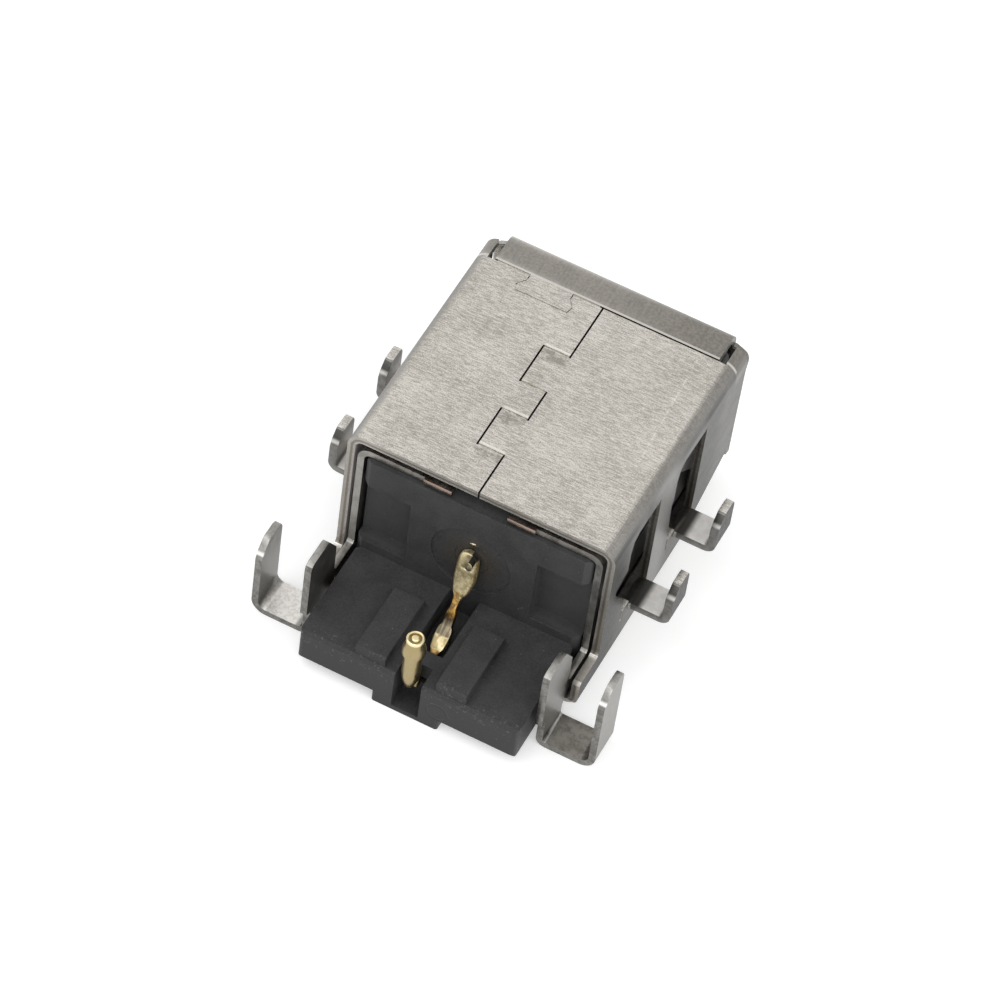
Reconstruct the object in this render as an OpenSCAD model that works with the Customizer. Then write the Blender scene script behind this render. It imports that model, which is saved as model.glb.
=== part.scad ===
// Shielded DC barrel jack that is sunk into a cut-out of a circuit board.
// Every size is in millimetres. +Z points at the board side, -Y at the solder
// tails and +Y at the plug. The origin is the middle of the shield's flat
// bottom, level with the rear edge of its top.

/* [Shield] */
// Width over the two side walls
shield_w = 12; // [11.4:0.1:14]
// Height from the flat bottom to the top
shield_h = 8.3; // [8:0.1:9.6]
// Length of the top, from its rear edge to the plug face
shield_l = 13; // [12.6:0.1:16]
// Thickness of the shield's sheet
shield_t = 0.35; // [0.25:0.05:0.4]
// Outside radius of the four long bends
shield_r = 0.7; // [0.5:0.05:0.9]
// How far the lower side walls run on behind the top
shield_heel = 1.7; // [1.4:0.1:2]
// Height of the heel on the right side wall
heel_top = 1.65; // [1.4:0.05:2.4]
// How much lower the heel of the left side wall is
heel_drop = 0.55; // [0:0.05:0.6]
// Distance that the side walls stop short of the plug face
wall_short = 0.8; // [0.5:0.1:1.2]
// Height at which the front edge of a side wall starts to slope in
toe_top = 2.4; // [1.5:0.1:3]
// Length of that slope along the bottom bend
toe_l = 4.3; // [2:0.1:5]

/* [Folded front] */
// Length of the edge that folds back over the top, from the plug face
band_l = 1.9; // [1.5:0.1:2.3]
// Slot between an end of the folded edge and the side wall
band_slot = 0.34; // [0.2:0.02:0.5]
// Part of the side wall's bend that stays beside that slot
corner_w = 0.54; // [0.4:0.02:0.66]
// Diameter of the opening for the plug
mouth_d = 6.6; // [6:0.1:7]
// How far the dovetail lock tab reaches back from the folded edge
lock_l = 0.95; // [0.6:0.05:1.2]
// Width of the lock tab at its end
lock_end_w = 2.5; // [2.2:0.1:3]
// Width of the lock tab at its neck
lock_neck_w = 1.95; // [1.4:0.05:2.1]
// Sideways place of the lock tab
lock_x = -2.5; // [-3:0.1:-2.2]

/* [Top seam] */
// Sideways place of the seam beside the fingers
seam_x = -0.14; // [-0.3:0.02:0.3]
// How far a finger of the right flap reaches into the left flap
finger_l = 1.2; // [0.6:0.1:1.5]
// Width of a finger
finger_w = 2.12; // [1.6:0.02:2.4]
// Distance from one finger to the next
finger_pitch = 3.78; // [3.2:0.02:4.2]
// Rear edge of the first finger
finger_y = 2.18; // [1.6:0.02:2.6]
// Gap along the seam
seam_gap = 0.08; // [0.04:0.01:0.14]

/* [Side windows and tails] */
// Rear edge of the first side tail
tail_y = 2.58; // [2.3:0.02:2.9]
// Distance from one side tail to the next
tail_pitch = 4.25; // [4.1:0.05:4.6]
// Width of a side tail
tail_w = 1.45; // [1.2:0.05:1.7]
// Height of the strips' upper faces, where the board lies
seat_z = 2.3; // [2.1:0.05:2.6]
// Distance from the side wall to the outer face of a tail
tail_out = 1.85; // [1.2:0.05:2.4]
// Height of the side tails' ends
tail_top = 4.1; // [3.6:0.1:4.8]
// Inside radius of the bends in strips and tails
bend_in = 0.15; // [0.1:0.05:0.25]
// Distance from the top of the shield to the top of a window
window_drop = 1; // [0.95:0.05:1.4]

/* [Sleeve contact] */
// Thickness of the contact's sheet
sleeve_t = 0.3; // [0.2:0.05:0.35]
// Outside radius of its long bends
sleeve_r = 0.6; // [0.45:0.05:0.75]
// Length of the contact ahead of the rear edge
sleeve_l = 11.4; // [11:0.1:11.8]
// Gap between its two top flaps
flap_gap = 2.5; // [1.6:0.1:3]
// Width of the sheared stub at the inner end of a flap
stub_w = 1.25; // [0.8:0.05:1.6]
// How far a stub stands out behind the flap
stub_l = 0.12; // [0.05:0.01:0.2]
// Height of the edge that joins the rear tab to the side wall
notch_z = 1.6; // [1.4:0.05:1.9]
// Distance of the upright tab's front edge behind the rear edge
tab_front = 1.72; // [1.5:0.02:1.9]
// Distance of the tab's rear edge behind the rear edge
tab_rear = 4.05; // [3.9:0.05:4.5]
// Height of the tab's top
tab_top = 4.45; // [4:0.05:5]
// Width of a rear solder tail
power_w = 1.68; // [1.3:0.02:1.9]
// Height of the right rear tail's end
power_top = 4.4; // [3.6:0.05:4.8]
// How much shorter the left rear tail is
power_less = 0.7; // [0:0.05:0.8]
// Inside radius of the bend between a rear strip and its tail
power_r = 0.4; // [0.15:0.05:0.6]
// Depth of the rear strips' upper faces below the shield's bottom
power_drop = 0.2; // [0.1:0.05:0.3]
// Width of a spring tongue
tongue_w = 1.6; // [1:0.1:2]
// Distance of the tongue's crest from the axis
tongue_x = 2.75; // [2.6:0.05:3]

/* [Housing] */
// Diameter of the bore for the plug's barrel
bore_d = 5.7; // [5.6:0.05:5.9]
// Thickness of the rear wall behind the bore
rear_wall = 2.5; // [2:0.1:3]
// How far the rear wall stands out behind the shield's top
wall_proud = 0.2; // [0.15:0.05:0.4]
// Height of a corner pocket in the rear wall
pocket_h = 3.5; // [2.5:0.1:3.8]
// Distance of a pocket's inner edge from the middle
pocket_x = 2.85; // [2.5:0.05:3.4]
// Depth of the pockets
pocket_d = 0.65; // [0.4:0.05:0.9]
// Diameter of the round recess about the centre contact
dish_d = 3.6; // [3:0.1:4]
// Depth of the round recess
dish_deep = 0.1; // [0.05:0.05:0.3]
// Distance of the shelf's rear face behind the shield's top
shelf_l = 5.2; // [5.1:0.1:6]
// Room between the shelf and the sleeve's wall on each side
shelf_gap = 0.25; // [0.15:0.05:0.6]
// Height of the shelf's outer parts
shelf_z = 1.8; // [1.6:0.05:2]
// Radius of the shelf's rear corners
shelf_r = 0.25; // [0.15:0.05:0.6]
// Inner edge of a raised pad, from the middle
pad_in = 1.15; // [0.9:0.05:1.4]
// Width of a raised pad
pad_w = 1.35; // [0.8:0.05:1.8]
// Distance of the pads' front ends from the rear wall
pad_gap = 1.2; // [0.8:0.05:1.8]
// Distance of the pads' rear ends from the shelf's rear face
pad_edge = 0.15; // [0.1:0.05:0.5]
// Room between the terminal's strip and each side of its channel
channel_gap = 0.35; // [0.15:0.05:0.45]
// Floor height of the channel for the centre terminal
channel_z = 0.6; // [0.5:0.05:0.9]
// Width of the locating boss under the shelf
boss_w = 3; // [2.4:0.1:4]
// Length of the boss
boss_l = 2.2; // [1.4:0.1:2.8]
// Depth of the boss below the shelf
boss_h = 0.5; // [0.2:0.05:0.8]

/* [Centre contact] */
// Diameter of the centre pin
pin_d = 2.5; // [1.65:0.05:2.6]
// Distance of the pin's tip from the plug face
pin_back = 1.6; // [0.8:0.1:3]
// Diameter of the flange on the pin
flange_d = 3.6; // [3:0.1:4.2]
// Thickness of the flange
flange_t = 0.5; // [0.3:0.05:0.8]
// Diameter of the shank in the rear wall
shank_d = 1.4; // [1:0.1:1.8]
// Diameter of the spigot through the terminal
spigot_d = 0.5; // [0.4:0.05:0.6]
// Thickness of the terminal's sheet
terminal_t = 0.3; // [0.2:0.05:0.35]
// Width of the oval pad on the rear wall
eye_w = 0.95; // [0.9:0.05:1.4]
// Width of the strip along the shelf
strip_w = 0.64; // [0.5:0.02:0.9]
// Diameter of the solder pin
solder_d = 0.8; // [0.7:0.02:1]
// Diameter of the swelling on the solder pin
swell_d = 1.02; // [0.9:0.02:1.3]
// Height of the solder pin's end
solder_top = 4.17; // [3.8:0.01:5]
// Distance of the solder pin's centre from the shelf's rear face
solder_in = 0.43; // [0.4:0.01:0.6]
// Diameter of the dimple in the end of the solder pin
dimple_d = 0.34; // [0.2:0.02:0.4]

/* [Fits] */
// Space between shield and sleeve contact at each side and underneath
side_gap = 0.15; // [0.1:0.01:0.2]
// Space between the two tops
top_gap = 0.25; // [0.15:0.01:0.35]
// Space round the housing inside the sleeve contact
mould_gap = 0.1; // [0.05:0.01:0.14]
// Space round pins and strips in the housing
pin_gap = 0.05; // [0.03:0.01:0.08]
// Space on each side of the solder pin's swelling in its notch
notch_gap = 0.1; // [0.05:0.01:0.2]

/* [Hidden] */
$fn = 48;
eps = 0.01;

steel = "#b3afa6";
plating = "#a9a59b";
mould = "#333436";
gold = "#c9a961";

half_w = shield_w / 2;
plate_y = shield_l - shield_t;
wall_y = shield_l - wall_short;
band_y = shield_l - band_l;
slot_x = half_w - corner_w;
band_x = slot_x - band_slot;
bend_out = bend_in + shield_t;
tail_x = half_w + tail_out;
root_z = seat_z - shield_t - bend_in;
window_top = shield_h - window_drop;
window_h = window_top - root_z;

sleeve_x = half_w - shield_t - side_gap;
sleeve_in = sleeve_x - sleeve_t;
shelf_w = 2 * (sleeve_in - shelf_gap);
sleeve_bottom = shield_t + side_gap;
sleeve_top = shield_h - shield_t - top_gap;
side_h = sleeve_top - sleeve_bottom - 2 * sleeve_r - 0.3;
sleeve_heel = shield_heel - side_gap;
panel_y = 0.5;
power_front = tab_front + 0.3;
power_bend = power_r + sleeve_t;
power_z = -power_drop;

house_x = sleeve_in - mould_gap;
house_bottom = sleeve_bottom + sleeve_t + mould_gap;
house_top = sleeve_top - sleeve_t - mould_gap;
house_y = plate_y - mould_gap;
rear_y = -wall_proud;
axis_z = (house_bottom + house_top) / 2;
bore_y = rear_y + rear_wall;
shelf_y = -shelf_l;
pocket_z = seat_z;

shank_y = rear_y + 0.5;
pin_tip = shield_l - pin_back;
solder_y = shelf_y + solder_in;
notch_w = swell_d + 2 * notch_gap;
notch_deep = solder_in + swell_d / 2 + notch_gap;
boss_floor = 0.25;
strip_z = channel_z + pin_gap;
strip_mid = strip_z + terminal_t / 2;

// Draws a (y, z) outline as a solid from x0 to x1
module along_x(x0, x1) {
    translate([x0, 0, 0])
        rotate([90, 0, 90])
            linear_extrude(x1 - x0)
                children();
}

// Draws an (x, z) outline as a solid from y0 to y1
module along_y(y0, y1) {
    translate([0, y1, 0])
        rotate([90, 0, 0])
            linear_extrude(y1 - y0)
                children();
}

// Keeps what is drawn and adds its mirror image across the middle
module both_sides() {
    children();
    mirror([1, 0, 0])
        children();
}

// Rectangle from (-w/2, 0) to (w/2, h) with four round corners
module round_rect(w, h, r) {
    translate([-w / 2 + r, 0])
        square([w - 2 * r, h]);
    translate([-w / 2, r])
        square([w, h - 2 * r]);
    for (x = [-w / 2 + r, w / 2 - r], z = [r, h - r])
        translate([x, z])
            circle(r);
}

// Cross-section of a sheet folded into a closed box
module folded_ring(w, h, r, t) {
    difference() {
        round_rect(w, h, r);
        translate([0, t])
            round_rect(w - 2 * t, h - 2 * t, r - t);
    }
}

// Quarter of a bent sheet, from the angle `turn` to 90 degrees further
module bend(inner, t, turn) {
    rotate(turn)
        difference() {
            intersection() {
                circle(inner + t);
                square(inner + t);
            }
            circle(inner);
        }
}

// Side view (y, z) of a solder tail with its rear upper corner cut off
module tail_outline(y0, w, low, high) {
    cut = w * 0.38;
    nip = w * 0.2;
    polygon([
        [y0, low],
        [y0 + w, low],
        [y0 + w, high - nip],
        [y0 + w - nip * 0.3, high - nip * 0.3],
        [y0 + w - nip, high],
        [y0 + cut, high],
        [y0 + cut * 0.85, high - cut * 0.08],
        [y0 + cut * 0.2, high - cut * 0.75],
        [y0, high - cut * 1.3]
    ]);
}

// ---- Shield: one folded sheet with its front plate hooked over the top ----

// Side view of the space behind the top, above a heel of the given height
module heel_cut(high) {
    polygon([
        [-shield_heel - 1, -1],
        [-shield_heel + 0.12, -1],
        [-shield_heel + 0.12, 0.15],
        [-shield_heel, 0.4],
        [-shield_heel, high - 0.15],
        [-shield_heel + 0.15, high],
        [-0.3, high],
        [-0.09, high + 0.09],
        [0, high + 0.3],
        [0, shield_h + 1],
        [-shield_heel - 1, shield_h + 1]
    ]);
}

// Side view of what is cut from the lower front corner of a side wall
module toe_cut() {
    polygon([
        [wall_y + 1, -1],
        [wall_y + 1, toe_top],
        [wall_y, toe_top],
        [wall_y - toe_l, shield_r],
        [wall_y - toe_l, -1]
    ]);
}

// Side view of window i, from which tail i is lanced
module window_outline(i) {
    y0 = tail_y + i * tail_pitch;
    near = y0 - 0.86;
    far = y0 + tail_w + 0.29;
    lip = seat_z + 0.1;
    // The first window also clears the heel of the tool that bends its tail
    step = i == 0 ? 1 : 0.12;
    polygon([
        [far, root_z],
        [far, window_top - 0.08],
        [near + 0.62, window_top],
        [near + 0.16, window_top - 0.2],
        [near, window_top - 0.75],
        [near, root_z + window_h * 0.655],
        [near - step, root_z + window_h * 0.61],
        [near - step, root_z + window_h * 0.5],
        [near, root_z + window_h * 0.31],
        [y0 - 0.73, root_z],
        [y0 - 0.6, root_z],
        [y0 - 0.6, lip],
        [y0, lip],
        [y0, root_z]
    ]);
}

// Strip bent outwards from the side wall and up into a tail
module side_tail(i) {
    y0 = tail_y + i * tail_pitch;
    intersection() {
        along_y(y0, y0 + tail_w) {
            translate([half_w + bend_in, root_z])
                bend(bend_in, shield_t, 90);
            translate([half_w + bend_in, seat_z - shield_t])
                square([tail_out - bend_in - bend_out, shield_t]);
            translate([tail_x - bend_out, seat_z - shield_t + bend_out])
                bend(bend_in, shield_t, 270);
            translate([tail_x - shield_t, seat_z - shield_t + bend_out])
                square([shield_t, tail_top - seat_z]);
        }
        along_x(half_w - shield_t - 1, tail_x + 1)
            tail_outline(y0, tail_w, 0, tail_top);
    }
}

// Plan view of the castellated seam, as wide as `gap`
module seam_line(gap) {
    fingers = [for (i = [0, 1]) finger_y + i * finger_pitch];
    starts = [0, fingers[0] + finger_w, fingers[1] + finger_w];
    ends = [fingers[0], fingers[1], band_y];
    for (i = [0:2])
        translate([seam_x - gap / 2, starts[i] - (i == 0 ? 1 : gap / 2)])
            square([gap, ends[i] - starts[i] + (i == 0 ? 1 : gap / 2) + gap / 2]);
    for (y = fingers) {
        translate([seam_x - finger_l - gap / 2, y - gap / 2])
            square([gap, finger_w + gap]);
        for (edge = [y, y + finger_w])
            translate([seam_x - finger_l - gap / 2, edge - gap / 2])
                square([finger_l + gap, gap]);
    }
}

// Plan view of the dovetail lock tab, or of its socket when grown
module lock_outline(grow) {
    neck = lock_neck_w / 2 + grow;
    end = lock_end_w / 2 + grow;
    tip = band_y - lock_l - grow;
    polygon([
        [lock_x - neck, band_y + 0.1],
        [lock_x - neck, band_y - lock_l * 0.28],
        [lock_x - end, tip + lock_l * 0.35],
        [lock_x - end + 0.08, tip],
        [lock_x + end - 0.08, tip],
        [lock_x + end, tip + lock_l * 0.35],
        [lock_x + neck, band_y - lock_l * 0.28],
        [lock_x + neck, band_y + 0.1]
    ]);
}

// Side view of the bottom, front plate and folded edge in one sheet
module front_fold() {
    y = shield_l - shield_r;
    translate([y - 1.5, 0])
        square([1.5, shield_t]);
    translate([y, shield_r])
        bend(shield_r - shield_t, shield_t, 270);
    translate([plate_y, shield_r])
        square([shield_t, shield_h - 2 * shield_r]);
    translate([y, shield_h - shield_r])
        bend(shield_r - shield_t, shield_t, 0);
    translate([band_y + seam_gap, shield_h - shield_t])
        square([y - band_y - seam_gap, shield_t]);
}

module outer_shield() {
    color(steel)
        difference() {
            union() {
                difference() {
                    along_y(-shield_heel, wall_y)
                        folded_ring(shield_w, shield_h, shield_r, shield_t);
                    along_x(0, half_w + 1)
                        heel_cut(heel_top);
                    along_x(-half_w - 1, 0.1)
                        heel_cut(heel_top - heel_drop);
                    both_sides()
                        along_x(half_w - shield_r, half_w + 1)
                            toe_cut();
                    translate([-slot_x, band_y, shield_h - shield_r - 0.2])
                        cube([2 * slot_x, wall_y, shield_r + 1]);
                    both_sides()
                        for (i = [0, 1])
                            along_x(half_w - 2 * shield_t, half_w + 1)
                                window_outline(i);
                    translate([0, 0, shield_h - 2 * shield_t])
                        linear_extrude(3 * shield_t) {
                            seam_line(seam_gap);
                            lock_outline(seam_gap / 2);
                        }
                }
                along_x(-band_x, band_x)
                    front_fold();
                translate([0, 0, shield_h - shield_t])
                    linear_extrude(shield_t)
                        lock_outline(0);
                both_sides()
                    for (i = [0, 1])
                        side_tail(i);
            }
            translate([0, shield_l + 1, axis_z])
                rotate([90, 0, 0])
                    cylinder(d = mouth_d, h = shield_t + 2);
        }
}

// ---- Sleeve contact: folded sheet that carries the plug's outer barrel ----

// Side view of one rear plate with its upright tab and strip root
module tab_outline() {
    high = tab_top;
    polygon([
        [0.6, sleeve_bottom + sleeve_r],
        [0.6, notch_z],
        [-tab_front + 0.14, notch_z],
        [-tab_front, notch_z + 0.14],
        [-tab_front - 0.04, high - 1.15],
        [-tab_front - 0.78, high - 0.07],
        [-tab_front - 0.95, high],
        [-tab_rear + 0.25, high],
        [-tab_rear + 0.06, high - 0.1],
        [-tab_rear, high - 0.35],
        [-tab_rear, 1.25],
        [-power_front - power_w, 1.05],
        [-power_front - power_w, power_z + bend_in],
        [-power_front, power_z + bend_in],
        [-power_front, 0.3],
        [-sleeve_heel, sleeve_bottom + sleeve_r]
    ]);
}

// Strip bent out from the rear plate and up into a solder tail
module power_tail(high) {
    y0 = -power_front - power_w;
    intersection() {
        along_y(y0, y0 + power_w) {
            translate([sleeve_x + bend_in, power_z + bend_in])
                bend(bend_in, sleeve_t, 180);
            translate([sleeve_x + bend_in, power_z - sleeve_t])
                square([tail_x - sleeve_x - bend_in - power_bend, sleeve_t]);
            translate([tail_x - power_bend, power_z + power_r])
                bend(power_r, sleeve_t, 270);
            translate([tail_x - sleeve_t, power_z + power_r])
                square([sleeve_t, high - power_z]);
        }
        along_x(sleeve_in - 1, tail_x + 1)
            tail_outline(y0, power_w, -1, high);
    }
}

// Plan view of a spring tongue, bent in from the front to touch the plug
module tongue_plan() {
    root = sleeve_l - 1.6;
    crest = root - 4;
    polygon([
        [sleeve_in, root + 0.4],
        [sleeve_x, root + 0.4],
        [sleeve_x, root - 0.3],
        [tongue_x + sleeve_t, crest + 0.15],
        [tongue_x + sleeve_t, crest - 0.15],
        [tongue_x + sleeve_t + 0.45, crest - 1.1],
        [tongue_x + 0.45, crest - 1.1],
        [tongue_x, crest - 0.15],
        [tongue_x, crest + 0.15],
        [sleeve_in, root - 0.3]
    ]);
}

module sleeve_contact() {
    color(plating) {
        difference() {
            along_y(-sleeve_heel, sleeve_l)
                translate([0, sleeve_bottom])
                    folded_ring(2 * sleeve_x, sleeve_top - sleeve_bottom, sleeve_r, sleeve_t);
            along_x(-sleeve_x - 1, sleeve_x + 1)
                polygon([
                    [-sleeve_heel - 1, notch_z],
                    [-0.12, notch_z],
                    [0, notch_z + 0.12],
                    [0, sleeve_top + 1],
                    [-sleeve_heel - 1, sleeve_top + 1]
                ]);
            translate([-flap_gap / 2, -1, sleeve_top - sleeve_t - 0.2])
                cube([flap_gap, sleeve_l + 2, sleeve_t + 1]);
            // The bottom panel stops short of the centre terminal's channel
            translate([-sleeve_in, -sleeve_heel - 1, sleeve_bottom - 1])
                cube([2 * sleeve_in, sleeve_heel + 1 + panel_y, sleeve_r + 1]);
            both_sides()
                translate([sleeve_in - 0.2, 1.1, sleeve_bottom + sleeve_r])
                    cube([sleeve_t + 1, sleeve_l - 2.7, side_h]);
        }
        both_sides() {
            along_x(sleeve_in, sleeve_x)
                tab_outline();
            translate([flap_gap / 2, -stub_l, sleeve_top - sleeve_t])
                cube([stub_w, stub_l + 0.3, sleeve_t]);
            translate([0, 0, axis_z - tongue_w / 2])
                linear_extrude(tongue_w)
                    tongue_plan();
        }
        power_tail(power_top);
        mirror([1, 0, 0])
            power_tail(power_top - power_less);
    }
}

// ---- Housing: black moulded insulator with bore, rear wall and shelf ----

// Cross-section of the block inside the sleeve contact
module block_outline() {
    translate([0, house_bottom])
        round_rect(2 * house_x, house_top - house_bottom, sleeve_r - sleeve_t);
}

// Side view of the shelf, stepped up over the shield that runs under it
module shelf_outline() {
    polygon([
        [panel_y - mould_gap, shield_t + mould_gap],
        [-shield_heel - mould_gap, shield_t + mould_gap],
        [-shield_heel - mould_gap, 0],
        [shelf_y + 0.15, 0],
        [shelf_y, 0.15],
        [shelf_y, shelf_z - 0.12],
        [shelf_y + 0.12, shelf_z],
        [panel_y - mould_gap, shelf_z]
    ]);
}

// Pocket in an upper corner of the rear wall, open to the side
module wall_pocket() {
    translate([pocket_x, rear_y - 1, pocket_z])
        cube([house_x, 1 + pocket_d, pocket_h]);
}

// Raised pad on the shelf, level with the seats of the side tails
module shelf_pad() {
    y0 = shelf_y + pad_edge;
    y1 = rear_y - pad_gap;
    along_x(pad_in, pad_in + pad_w)
        polygon([
            [y0, shelf_z - 0.3],
            [y0, seat_z - 0.08],
            [y0 + 0.08, seat_z],
            [y1 - 0.25, seat_z],
            [y1, shelf_z],
            [y1, shelf_z - 0.3]
        ]);
}

module housing() {
    dish_r = dish_d / 2;
    color(mould)
        difference() {
            union() {
                along_y(rear_y, house_y)
                    block_outline();
                intersection() {
                    along_x(-shelf_w / 2, shelf_w / 2)
                        shelf_outline();
                    translate([0, shelf_y, -1])
                        linear_extrude(shield_h)
                            round_rect(shelf_w, shelf_l + 2, shelf_r);
                }
                both_sides()
                    shelf_pad();
                translate([0, shelf_y, -boss_h])
                    linear_extrude(boss_h + 0.2)
                        round_rect(boss_w, boss_l, 0.12);
            }
            // Plug bore, flange seat and shank hole
            translate([0, house_y + 1, axis_z])
                rotate([90, 0, 0])
                    cylinder(d = bore_d, h = house_y + 1 - bore_y);
            translate([0, bore_y + eps, axis_z])
                rotate([90, 0, 0])
                    cylinder(d = flange_d + 2 * pin_gap, h = flange_t + pin_gap + eps);
            translate([0, bore_y, axis_z])
                rotate([90, 0, 0])
                    cylinder(d = shank_d + 2 * pin_gap, h = rear_wall + 1);
            translate([0, rear_y + dish_deep, axis_z])
                rotate([90, 0, 0])
                    cylinder(r = dish_r, h = 1);
            both_sides() {
                wall_pocket();
                // Corner of the wall falls away beside the sleeve contact
                translate([house_x - 0.3, rear_y, -1])
                    rotate([0, 0, -45])
                        cube([1, 0.8, shield_h + 2], center = false);
                // Slot for the spring tongue
                translate([0, 0, axis_z - tongue_w / 2 - 2 * mould_gap])
                    linear_extrude(tongue_w + 4 * mould_gap)
                        polygon([
                            [bore_d / 2 - 0.6, sleeve_l - 7],
                            [house_x + 1, sleeve_l - 7],
                            [house_x + 1, sleeve_l - 1],
                            [house_x - 0.6, sleeve_l - 1.2],
                            [bore_d / 2 - 0.6, sleeve_l - 4.8]
                        ]);
            }
            // Channel and notch for the centre terminal
            translate([-strip_w / 2 - channel_gap, shelf_y + notch_deep + 0.7, channel_z])
                cube([strip_w + 2 * channel_gap, shelf_l - notch_deep - 0.7 - wall_proud, shelf_z]);
            translate([-strip_w / 2 - pin_gap, shelf_y + notch_deep - 0.2, channel_z])
                cube([strip_w + 2 * pin_gap, 1.2, terminal_t + 2 * pin_gap]);
            translate([-notch_w / 2, shelf_y - 1, boss_floor - boss_h])
                cube([notch_w, 1 + notch_deep, shelf_z + boss_h + 2]);
        }
}

// ---- Centre contact: turned pin and formed terminal ----

module centre_pin() {
    dome = pin_d / 2;
    color(gold)
        translate([0, 0, axis_z])
            rotate([-90, 0, 0]) {
                translate([0, 0, bore_y - flange_t])
                    cylinder(d = flange_d, h = flange_t);
                translate([0, 0, bore_y - eps])
                    cylinder(d = pin_d, h = pin_tip - dome * 0.5 - bore_y + eps);
                translate([0, 0, pin_tip - dome * 0.5])
                    cylinder(r1 = dome, r2 = dome * 0.5, h = dome * 0.5);
                translate([0, 0, shank_y])
                    cylinder(d = shank_d, h = bore_y - shank_y);
                translate([0, 0, rear_y - 0.3])
                    cylinder(d = spigot_d, h = shank_y - rear_y + 0.3 + eps);
            }
}

// Side view (y, z) of a length of strip from point a to point b
module run(a, b) {
    d = b - a;
    n = [-d[1], d[0]] / norm(d) * terminal_t / 2;
    polygon([a + n, b + n, b - n, a - n]);
    translate(a)
        circle(terminal_t / 2);
    translate(b)
        circle(terminal_t / 2);
}

module centre_terminal() {
    pad_top = axis_z + 0.8;
    pad_low = axis_z - 1.55;
    lean = 0.6;
    top = [rear_y - 0.1, pad_top];
    low = [rear_y - 0.1 - lean, pad_low];
    neck = [rear_y - 0.85, shelf_z + 0.2];
    knee = [rear_y - 0.92, strip_mid + 0.42];
    flat = [rear_y - 1.35, strip_mid];
    rise = [shelf_y + notch_deep + 0.35, strip_mid];
    stem = [solder_y, strip_mid];
    color(gold)
        difference() {
            union() {
                intersection() {
                    along_x(-eye_w / 2, eye_w / 2)
                        run(top, low);
                    along_y(rear_y - 2, rear_y + 1)
                        translate([0, pad_low])
                            round_rect(eye_w, pad_top - pad_low, eye_w / 2 - eps);
                }
                along_x(-0.18, 0.18)
                    run(low, neck);
                along_x(-0.28, 0.28)
                    run(neck, knee);
                along_x(-strip_w / 2, strip_w / 2)
                    run(knee, flat);
                along_x(-strip_w / 2, strip_w / 2)
                    run(flat, rise);
                along_x(-strip_w / 2 + 0.06, strip_w / 2 - 0.06)
                    run(rise, stem);
                translate([0, solder_y, 0])
                    solder_pin();
            }
            translate([0, rear_y, axis_z])
                rotate([90, 0, 0])
                    cylinder(d = spigot_d + 2 * pin_gap, h = 2);
            translate([0, solder_y, solder_top - 0.3])
                cylinder(d = dimple_d, h = 1);
        }
}

// Round solder pin with a swelling that grips the hole in the board
module solder_pin() {
    r = solder_d / 2;
    swell = swell_d / 2;
    low = strip_mid - 0.1;
    swell_z = seat_z + 1.2;
    taper_z = seat_z - 0.4;
    rotate_extrude()
        polygon([
            [0, low],
            [r * 0.5, low],
            [r * 0.6, (low + taper_z) / 2],
            [r, taper_z],
            [r, swell_z - 0.5],
            [swell, swell_z - 0.2],
            [swell, swell_z + 0.2],
            [r, swell_z + 0.45],
            [r, solder_top - 0.06],
            [r - 0.06, solder_top],
            [0, solder_top]
        ]);
}

outer_shield();
sleeve_contact();
housing();
centre_pin();
centre_terminal();
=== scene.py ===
import bpy
import bmesh
import math
from mathutils import Matrix, Vector


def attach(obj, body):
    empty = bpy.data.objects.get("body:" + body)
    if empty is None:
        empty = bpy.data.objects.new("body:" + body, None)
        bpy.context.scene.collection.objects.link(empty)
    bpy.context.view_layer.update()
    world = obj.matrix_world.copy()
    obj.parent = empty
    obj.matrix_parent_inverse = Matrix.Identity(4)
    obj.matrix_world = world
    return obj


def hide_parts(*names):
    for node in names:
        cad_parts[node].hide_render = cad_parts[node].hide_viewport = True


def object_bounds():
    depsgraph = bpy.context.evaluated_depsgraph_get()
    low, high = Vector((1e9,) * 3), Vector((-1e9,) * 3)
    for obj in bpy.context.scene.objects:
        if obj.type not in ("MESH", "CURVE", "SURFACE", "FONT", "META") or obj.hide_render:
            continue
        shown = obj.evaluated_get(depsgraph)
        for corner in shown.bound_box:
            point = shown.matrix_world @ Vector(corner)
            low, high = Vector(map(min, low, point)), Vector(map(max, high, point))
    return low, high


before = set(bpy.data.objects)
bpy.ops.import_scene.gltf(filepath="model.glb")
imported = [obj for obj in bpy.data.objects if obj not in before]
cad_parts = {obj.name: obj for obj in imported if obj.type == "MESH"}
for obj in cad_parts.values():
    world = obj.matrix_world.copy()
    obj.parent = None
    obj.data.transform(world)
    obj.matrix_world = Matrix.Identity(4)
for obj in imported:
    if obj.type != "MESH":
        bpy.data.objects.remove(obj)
cad_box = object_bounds()


# ---- Outer shield ----
# One sheet of stainless steel, folded into a box round the housing and hooked
# over itself at the front. The sheet is brushed from side to side, and its
# punched edges are slightly rounded.

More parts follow.
